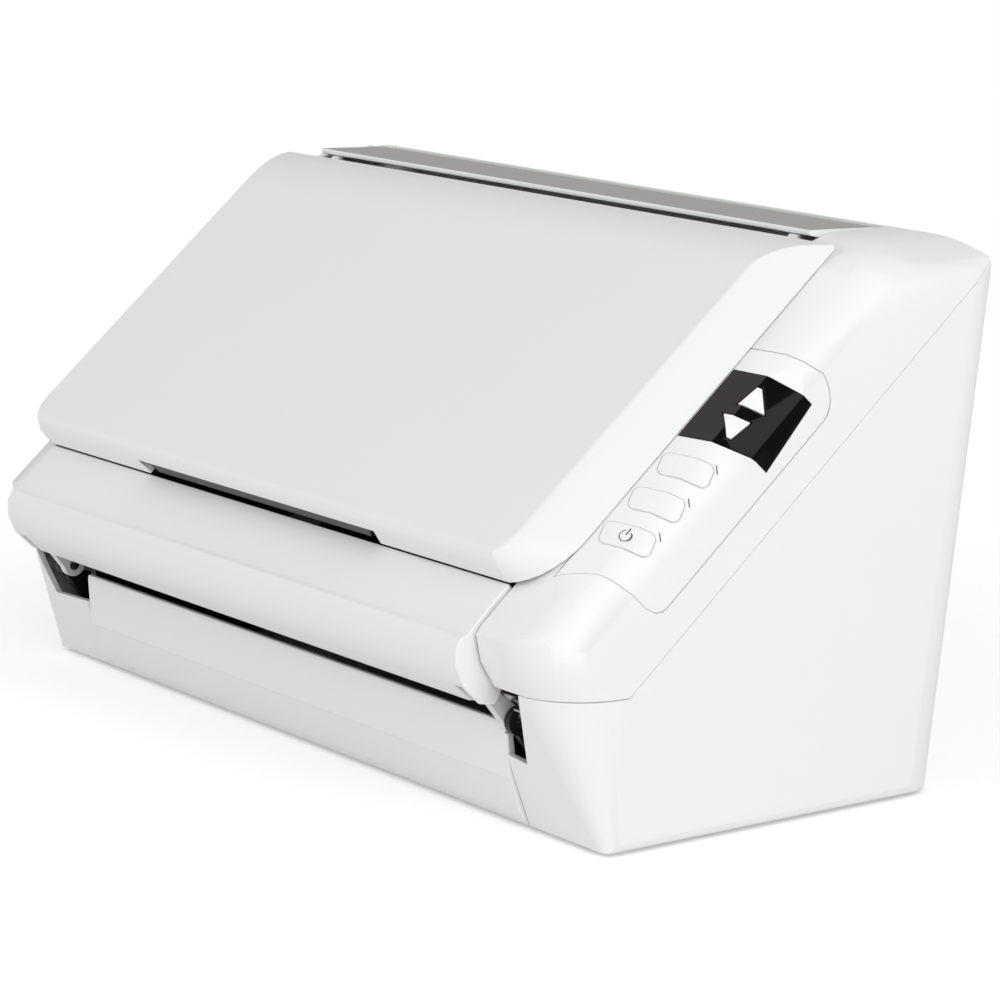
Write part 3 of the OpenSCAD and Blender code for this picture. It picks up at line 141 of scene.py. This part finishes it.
def finish(name, base, roughness, metallic=0.0, ior=1.5, grain=0.4, bump=0.1, patchy=0.04, rough_patch=0.06,
           stretch=(1, 1, 1), **shader):
    """A material: a slightly uneven colour, a roughness that varies, and a fine raised grain of that size in mm."""
    material = bpy.data.materials.new(name)
    material.use_nodes = True
    tree = material.node_tree
    tree.nodes.clear()
    where = add(tree, "ShaderNodeTexCoord").outputs["Object"]
    placed = add(tree, "ShaderNodeMapping", {"Vector": where, "Scale": stretch}).outputs["Vector"]
    cloud = add(tree, "ShaderNodeTexNoise", {"Vector": where, "Scale": 1 / (45 * MM), "Detail": 3.0})
    fine = add(tree, "ShaderNodeTexNoise", {"Vector": placed, "Scale": 1 / (grain * MM), "Detail": 2.0})
    dark = [c * (1 - patchy) for c in colour(base)[:3]] + [1.0]
    mixed = add(tree, "ShaderNodeMix", data_type="RGBA")
    tree.links.new(cloud.outputs["Fac"], mixed.inputs[0])
    mixed.inputs[6].default_value = dark
    mixed.inputs[7].default_value = colour(base)
    rough = add(tree, "ShaderNodeMapRange", {"Value": fine.outputs["Fac"], "To Min": max(roughness - rough_patch, 0.02),
                                             "To Max": roughness + rough_patch})
    raised = add(tree, "ShaderNodeBump", {"Height": fine.outputs["Fac"], "Strength": bump, "Distance": 0.05 * MM})
    inputs = {"Base Color": mixed.outputs[2], "Roughness": rough.outputs["Result"], "Metallic": metallic,
              "IOR": ior, "Normal": raised.outputs["Normal"]}
    inputs.update({key.replace("_", " "): value for key, value in shader.items()})
    surface = add(tree, "ShaderNodeBsdfPrincipled", inputs)
    add(tree, "ShaderNodeOutputMaterial", {"Surface": surface.outputs["BSDF"]})
    return material


# %% [markdown]
# ## The finishes
# The covers are white ABS from a mould whose steel was spark eroded, so the surface has a fine even
# grain that spreads highlights. ABS has an IOR near 1.54. The real grain is under 0.1 mm. It is drawn at
# 0.35 mm, because anything finer would vanish between two pixels.

# %% Finishes by the slot that each part is made in
FINISH = {
    # Clean white with a soft broad highlight, the look of the whole machine
    "white_plastic": finish("white_spark_eroded_abs", "#F0F1F1", 0.42, ior=1.54, grain=0.35, bump=0.12,
                            patchy=0.012),
    # Slightly darker white, a painted shade for the parts that sit back in a gap
    "pale_plastic": finish("pale_abs_painted_recess_shade", "#E2E3E3", 0.4, ior=1.54, grain=0.4, bump=0.12),
    # Even warm grey with a soft sheen
    "plate_grey": finish("grey_satin_abs", "#A3A19F", 0.36, ior=1.54, grain=0.35, bump=0.1),
    # Near black that takes the light out of the paper path
    "black_plastic": finish("black_moulded_abs", "#1A1A1C", 0.42, ior=1.54, grain=0.5, bump=0.2),
    # Charcoal with a dull sheen, for tray and ramp
    "dark_grey_plastic": finish("charcoal_moulded_abs", "#3C3D40", 0.46, ior=1.54, grain=0.5, bump=0.2),
    # Deep black with a sharp but weak reflection
    "gloss_black": finish("coated_black_acrylic", "#030304", 0.07, ior=1.49, grain=3, bump=0.01, rough_patch=0.02,
                          Specular_IOR_Level=0.12),
    # Dull black that shows no highlight
    "rubber": finish("black_feed_rubber", "#222223", 0.78, ior=1.52, grain=0.6, bump=0.5, rough_patch=0.1),
    # Dull mid grey that tells the separation roller apart
    "grey_rubber": finish("grey_separation_rubber", "#77787A", 0.8, ior=1.52, grain=0.6, bump=0.5),
    # Bright metal with fine lines from turning
    "steel": finish("turned_bright_steel", "#B9B9BB", 0.28, metallic=1.0, grain=0.5, stretch=(8, 1, 1), bump=0.15),
    # Dark metal with a faint sheen, for screws and sheet parts
    "plated_steel": finish("black_coated_steel", "#26272A", 0.45, metallic=0.4, grain=0.5, bump=0.2),
    # Grainy pale metal of a cast can
    "aluminium": finish("cast_motor_aluminium", "#9FA0A2", 0.42, metallic=1.0, grain=0.8, bump=0.4),
    # Warm dull metal of small bushes
    "bronze": finish("sintered_bronze", "#B08A55", 0.5, metallic=1.0, grain=0.3, bump=0.4),
    # Creamy waxy white of small gears
    "acetal": finish("natural_acetal", "#E0DBCB", 0.34, ior=1.48, grain=0.8, bump=0.1),
    # Glossy green of a circuit board
    "board": finish("green_solder_mask", "#1B5A35", 0.35, ior=1.5, grain=1.2, bump=0.1),
    # Clear cover that shows its bar beneath
    "glass": finish("clear_cover_glass", "#DDE6E8", 0.03, ior=1.52, grain=5, bump=0.005, rough_patch=0.01,
                    Transmission_Weight=0.9),
}
made_in = {part["node"]: part["material_slot"] for part in frame["record"]["subparts"]}
for name, node in nodes.items():
    node.data.materials.clear()
    node.data.materials.append(FINISH[made_in[name]])
print("finishes:", len(FINISH), "given to", len(nodes), "solids")

# %% [markdown]
# ## Moulded edges
# No moulded cover has a knife edge: the mould's own edges are rounded, and so are the plastic's.
# Each cover is built again from its measured solid. Loose triangles are merged, flat ones joined to
# whole faces, and every outer edge that turns by more than 38 degrees is marked for the Bevel modifier.
# Inside corners stay as they are, so that nothing grows into a gap where another part slides.
# The two top caps keep their edges. They fan out to a point at the rear, where a bevel folds over.

# %% Round the edges of a measured solid
WELD = 0.03
FLAT_ANGLE = math.radians(0.6)
EDGE_ANGLE = 38
BEVEL_STEPS = 3
GROWN_LIMIT = 0.01


def merged(node):
    """The loose triangles of a measured solid, joined at their corners."""
    work = bmesh.new()
    work.from_mesh(nodes[node].data)
    bmesh.ops.remove_doubles(work, verts=work.verts, dist=WELD * MM)
    return work


def rounded(name, node, radius):
    """A copy of a measured solid with its outer edges rounded by that radius in mm; 0 keeps them sharp."""
    work = merged(node)
    bmesh.ops.dissolve_limit(work, angle_limit=FLAT_ANGLE, verts=work.verts, edges=work.edges)
    weight = work.edges.layers.float.new("bevel_weight_edge")
    for edge in work.edges:
        turn = math.degrees(edge.calc_face_angle(0))
        if turn > EDGE_ANGLE and edge.is_convex and radius:
            edge[weight] = 1
        edge.smooth = radius > 0 or turn < EDGE_ANGLE
    for face in work.faces:
        face.smooth = True
    mesh = bpy.data.meshes.new(name)
    work.to_mesh(mesh)
    work.free()
    for layer in [a.name for a in mesh.attributes if a.name == "custom_normal"]:
        mesh.attributes.remove(mesh.attributes[layer])
    piece = bpy.data.objects.new(name, mesh)
    bpy.context.scene.collection.objects.link(piece)
    if radius:
        bevel = piece.modifiers.new("edges", "BEVEL")
        bevel.limit_method = "WEIGHT"
        bevel.offset_type = "OFFSET"
        bevel.width = radius * MM
        bevel.segments = BEVEL_STEPS
        bevel.use_clamp_overlap = False
    level = piece.modifiers.new("flats", "WEIGHTED_NORMAL")
    level.keep_sharp = True
    mesh.materials.clear()
    mesh.materials.append(FINISH[made_in[node]])
    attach(piece, nodes[node]["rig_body"])
    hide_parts(node)
    bpy.context.view_layer.update()
    shown = piece.evaluated_get(bpy.context.evaluated_depsgraph_get()).to_mesh()
    lo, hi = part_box(node)
    over = max(max(max(lo[i] - v.co[i], v.co[i] - hi[i]) for v in shown.vertices) for i in range(3)) / MM
    if over > GROWN_LIMIT:
        print("   past its solid's box:", name, round(over, 3), "mm")
    return piece


# Piece, its solid, and its edge radius in mm
SHELLS = (
    ("right_side_shell", "right_side_cover", 0.4), ("left_side_shell", "left_side_cover", 0.4),
    ("right_cap_shell", "right_top_cap", 0), ("left_cap_shell", "left_top_cap", 0),
    ("rear_wall", "rear_cover", 0.3), ("front_wall", "front_panel", 0.4),
    ("control_strip", "control_insert", 0.12), ("door_shell", "door_cover", 0.5),
    ("lid_shell", "tray_lid", 0.3), ("plate_shell", "top_plate", 0.3),
    ("display_glass", "display_window", 0.15),
    ("door_arm_pair", "door_arms", 0.3), ("extension_tray", "tray_extension", 0.35),
    ("key_power", "button_power", 0.12), ("key_scan", "button_scan", 0.12),
    ("key_cancel", "button_cancel", 0.12), ("key_up", "button_up", 0.25), ("key_down", "button_down", 0.25),
)
for name, node, radius in SHELLS:
    piece = rounded(name, node, radius)
    print(name, "faces", len(piece.data.polygons))

# %% [markdown]
# ## Two finishes on one part
# The narrow plate is white all round, with its top face coloured grey. The window over the display is one
# black moulding, painted black from behind. Its upper facet is coloured dark grey instead, a painted reflection
# of the surroundings that this facet catches; the rest stays black.

# %% Grey top face on the plate, and a painted reflection on the window's upper facet
def second_finish(name, main, other, chosen):
    """Give the piece its main finish, and the other one on every face that the test picks."""
    mesh = bpy.data.objects[name].data
    mesh.materials.clear()
    mesh.materials.append(main)
    mesh.materials.append(other)
    count = 0
    for face in mesh.polygons:
        if chosen(face):
            face.material_index = 1
            count += 1
    print(name, "faces in the second finish:", count)


plate_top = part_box("top_plate")[1][2]
GREY_TOP_DEPTH = 1.2
second_finish("plate_shell", FINISH["white_plastic"], FINISH["plate_grey"],
              lambda face: face.normal.z > 0.9 and face.center.z > plate_top - GREY_TOP_DEPTH * MM)
# Dark grey, a painted reflection on the window's upper facet; the material itself reflects little
PAINTED_REFLECTION_GREY = finish("display_facet_painted_reflection", "#3B3838", 0.12, ior=1.49, grain=3, bump=0.01, rough_patch=0.02,
                Specular_IOR_Level=0.12)
# The upper facet of the display window gets the dark grey of the painted reflection
second_finish("display_glass", FINISH["gloss_black"], PAINTED_REFLECTION_GREY,
              lambda face: 0.2 < face.normal.x < 0.6 and face.normal.z > 0.5)

# %% [markdown]
# ## Ledges behind the seams
# A key usually has a flange below the surface that stops it from falling out, and a strip like this a lap
# all round. Both close the view into the gap, so that the seams look pale grey and not black.
# The measured solids have neither. Each one here is a copy of the moulding's outer end, a little wider
# than the moulding and set lower than the surface.

# %% Ledges
ROOT_2 = math.sqrt(2)


def object_from(work, name, material, body):
    for face in work.faces:
        face.smooth = True
    bmesh.ops.recalc_face_normals(work, faces=work.faces)
    mesh = bpy.data.meshes.new(name)
    work.to_mesh(mesh)
    work.free()
    mesh.materials.append(material)
    piece = bpy.data.objects.new(name, mesh)
    bpy.context.scene.collection.objects.link(piece)
    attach(piece, body)
    return piece


def on_shoulder(e, s, h):
    """A place on the shoulder: e runs across it, s up the slope and h square out of it."""
    return on_slope((e + h) / ROOT_2, s, (h - e) / ROOT_2)


def ledge(name, node, wider, lower, deep):
    """A copy of a moulding's outer end, grown across the press axis and moved down along it, in mm."""
    origin = on_shoulder(0, 0, 0)
    across, along, out = [(on_shoulder(*way) - origin).normalized() for way in ((1, 0, 0), (0, 1, 0), (0, 0, 1))]
    axes = Matrix((across, along, out)).transposed().to_4x4()
    work = merged(node)
    bmesh.ops.transform(work, verts=work.verts, matrix=axes.inverted())
    lo = [min(v.co[i] for v in work.verts) for i in range(3)]
    hi = [max(v.co[i] for v in work.verts) for i in range(3)]
    bmesh.ops.bisect_plane(work, geom=work.verts[:] + work.edges[:] + work.faces[:], dist=1e-7,
                           plane_co=(0, 0, hi[2] - deep * MM), plane_no=(0, 0, -1), clear_outer=True)
    rim = [edge for edge in work.edges if edge.is_boundary]
    bmesh.ops.holes_fill(work, edges=rim, sides=0)
    bmesh.ops.triangulate(work, faces=work.faces[:])
    middle = Vector((lo[0] + hi[0], lo[1] + hi[1], 0)) / 2
    scale = [1 + 2 * wider * MM / (hi[i] - lo[i]) for i in range(2)]
    bmesh.ops.translate(work, verts=work.verts, vec=-middle)
    bmesh.ops.scale(work, verts=work.verts, vec=(scale[0], scale[1], 1))
    bmesh.ops.translate(work, verts=work.verts, vec=middle - Vector((0, 0, lower * MM)))
    bmesh.ops.transform(work, verts=work.verts, matrix=axes)
    return object_from(work, name, FINISH[made_in[node]], nodes[node]["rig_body"])


for key in ("power", "scan", "cancel"):
    ledge(key + "_key_flange", "button_" + key, wider=0.26, lower=0.75, deep=6)
ledge("strip_lap", "control_insert", wider=0.14, lower=0.3, deep=22)
print("ledges: 4")

# %% [markdown]
# ## Small marks on the control strip
# A short dark tick lies beside each key, where the gap at the key's upper corner falls in shade; it is drawn
# here as a painted shade mark. The power key carries the usual sign, a ring open at the top with a bar in the gap,
# which could be pad printed in grey. Here both stand 0.06 mm proud as thin rounded strips, sunk into the surface that
# they lie on.

# %% Thin strips laid on a surface
PROUD = 0.06
# Matt mid grey, like a thin print that lets no plastic shine through: the printed power sign, and the painted shade of
# the key gaps
GREY_PRINT_AND_PAINTED_SHADE = finish("grey_print_and_painted_shade", "#55575B", 0.5, ior=1.5, grain=0.4, bump=0.05)


def frame_on(spot, out, along):
    """Axes with Z out of the surface and Y along the given way."""
    up = out.normalized()
    side = along.cross(up).normalized()
    return Matrix.Translation(spot) @ Matrix((side, up.cross(side), up)).transposed().to_4x4()


def strip(work, start, end, out, wide, tall=0.5):
    run = end - start
    axes = frame_on((start + end) / 2 + out.normalized() * (PROUD - tall / 2) * MM, out, run)
    size = Matrix.Diagonal((wide * MM, run.length, tall * MM, 1))
    made = bmesh.ops.create_cube(work, size=1, matrix=axes @ size)
    edges = list({edge for vert in made["verts"] for edge in vert.link_edges})
    bmesh.ops.bevel(work, geom=edges, offset=min(wide, tall) * 0.2 * MM, offset_type="OFFSET", segments=2,
                    profile=0.5, affect="EDGES", clamp_overlap=True, material=-1)


def surface_at(name, e, s):
    """Where the press axis meets the piece, and which way the surface faces there."""
    solid = bpy.data.objects[name]
    back = solid.matrix_world.inverted()
    start = back @ on_shoulder(e, s, 170)
    down = (back @ on_shoulder(e, s, 0) - start).normalized()
    hit, spot, normal, face = solid.ray_cast(start, down)
    if not hit:
        raise ValueError("nothing under the mark")
    return solid.matrix_world @ spot, (solid.matrix_world.to_3x3() @ normal).normalized()


bpy.context.view_layer.update()
UP_SLOPE = Vector((0, math.cos(SLOPE), math.sin(SLOPE)))
# The three ticks are painted shade: grey marks where the key gaps fall in shade
GAP_SHADE_S = (69.8, 82.6, 95.0)
GAP_SHADE_E = 72.1
GAP_SHADE_HALF = 0.9
gap_shades = bmesh.new()
for s in GAP_SHADE_S:
    start, out = surface_at("control_strip", GAP_SHADE_E - GAP_SHADE_HALF, s + GAP_SHADE_HALF)
    end, out = surface_at("control_strip", GAP_SHADE_E + GAP_SHADE_HALF, s - GAP_SHADE_HALF)
    strip(gap_shades, start, end, out, 0.35)
object_from(gap_shades, "key_lamp_slots", GREY_PRINT_AND_PAINTED_SHADE, nodes["control_insert"]["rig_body"])

SIGN_E = 64.7
SIGN_S = 64.0
SIGN_RADIUS = 1.75
LINE_RADIUS = 0.25
RING_OPEN = 70
sign = bmesh.new()
spot, out = surface_at("key_power", SIGN_E, SIGN_S)
axes = frame_on(spot + out * (PROUD - LINE_RADIUS) * MM, out, UP_SLOPE)
ring = bmesh.ops.create_circle(sign, cap_ends=True, segments=12, radius=LINE_RADIUS * MM)
turn = Matrix.Rotation(math.radians(90), 4, "X")
bmesh.ops.transform(sign, verts=ring["verts"], matrix=Matrix.Translation((SIGN_RADIUS * MM, 0, 0)) @ turn)
first = Matrix.Rotation(math.radians(90 + RING_OPEN / 2), 4, "Z")
bmesh.ops.transform(sign, verts=sign.verts, matrix=first)
bmesh.ops.spin(sign, geom=sign.faces[:] + sign.edges[:] + sign.verts[:], axis=(0, 0, 1), cent=(0, 0, 0), steps=30,
               angle=math.radians(360 - RING_OPEN), use_duplicate=False, use_merge=False)
bmesh.ops.transform(sign, verts=sign.verts, matrix=axes)
strip(sign, spot + UP_SLOPE * 0.2 * MM, spot + UP_SLOPE * 2.6 * MM, out, 0.45)
object_from(sign, "power_sign", GREY_PRINT_AND_PAINTED_SHADE, nodes["button_power"]["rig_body"])
# The lamp slots in this print are the painted shade ticks of the key gaps
print("marks: 3 lamp slots and the power sign")

# %% [markdown]
# ## Floor, light and camera
# The machine stands on a plain white floor. The floor keeps the soft shadow near the machine, and
# further out it shows as plain white to the camera. The light is a pale sky all round with one large
# soft box at the right and a weaker one in front.

# %% Floor
FLOOR_RADIUS = 6
SHADOW_END = 0.16
PLAIN_FROM = 0.34
bm = bmesh.new()
bmesh.ops.create_circle(bm, cap_ends=True, segments=96, radius=FLOOR_RADIUS)
floor_mesh = bpy.data.meshes.new("floor")
bm.to_mesh(floor_mesh)
bm.free()
floor = bpy.data.objects.new("floor", floor_mesh)
bpy.context.scene.collection.objects.link(floor)
floor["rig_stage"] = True
floor_paint = bpy.data.materials.new("white_studio_paper")
floor_paint.use_nodes = True
tree = floor_paint.node_tree
tree.nodes.clear()
spot = add(tree, "ShaderNodeTexCoord").outputs["Object"]
reach = add(tree, "ShaderNodeVectorMath", {0: spot}, operation="LENGTH").outputs["Value"]
far = add(tree, "ShaderNodeMapRange", {"Value": reach, "From Min": SHADOW_END, "From Max": PLAIN_FROM})
seen = add(tree, "ShaderNodeLightPath")
white = add(tree, "ShaderNodeEmission", {"Color": (1, 1, 1, 1), "Strength": 1.0})
paper = add(tree, "ShaderNodeBsdfDiffuse", {"Color": (0.93, 0.93, 0.93, 1)})
lift = add(tree, "ShaderNodeMath", {0: seen.outputs["Is Camera Ray"], 1: 0.3}, operation="MULTIPLY")
glow = add(tree, "ShaderNodeEmission", {"Color": (1, 1, 1, 1), "Strength": lift.outputs["Value"]})
near = add(tree, "ShaderNodeAddShader", {0: paper.outputs["BSDF"], 1: glow.outputs["Emission"]})
share = add(tree, "ShaderNodeMath", {0: far.outputs["Result"], 1: seen.outputs["Is Camera Ray"]}, operation="MULTIPLY")
both = add(tree, "ShaderNodeMixShader", {0: share.outputs["Value"], 1: near.outputs["Shader"],
                                         2: white.outputs["Emission"]})
add(tree, "ShaderNodeOutputMaterial", {"Surface": both.outputs["Shader"]})
floor_mesh.materials.append(floor_paint)

# %% World and soft boxes
world = bpy.data.worlds.new("studio")
bpy.context.scene.world = world
world.use_nodes = True
sky = world.node_tree
sky.nodes.clear()
path = add(sky, "ShaderNodeLightPath")
level = add(sky, "ShaderNodeMapRange", {"Value": path.outputs["Is Camera Ray"], "To Min": 0.56, "To Max": 1.0})
back = add(sky, "ShaderNodeBackground", {"Color": (1, 1, 1, 1), "Strength": level.outputs["Result"]})
add(sky, "ShaderNodeOutputWorld", {"Surface": back.outputs["Background"]})


def soft_box(name, spot, size, power):
    lamp = bpy.data.lights.new(name, "AREA")
    lamp.shape = "SQUARE"
    lamp.size = size
    lamp.energy = power
    box = bpy.data.objects.new(name, lamp)
    bpy.context.scene.collection.objects.link(box)
    box.location = spot
    aim = (Vector((0, 0, 0.07)) - Vector(spot)).to_track_quat("-Z", "Y")
    box.rotation_euler = aim.to_euler()
    return box


soft_box("soft_box_right", (1.9, -0.4, 1.0), 1.4, 18)
soft_box("soft_box_front", (-0.3, -2.0, 0.9), 1.4, 9)
print("soft boxes: 2")

# %% Camera
lens = bpy.data.cameras.new("camera")
lens.lens = 145.147
lens.sensor_width = 36
camera = bpy.data.objects.new("camera", lens)
bpy.context.scene.collection.objects.link(camera)
camera.location = place(993.8, -629.3, 308.8)
camera.rotation_euler = (math.radians(90 - 11.394), 0, math.radians(54.625))
bpy.context.scene.camera = camera
bpy.context.scene.view_settings.view_transform = "Standard"
print("camera", [round(v, 4) for v in camera.location])

# %% Sizes, and the end
seen_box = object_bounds()
grown = [(seen_box[1][i] - seen_box[0][i] - cad_box[1][i] + cad_box[0][i]) / MM for i in range(3)]
print("box grown by", [round(g, 3) for g in grown])
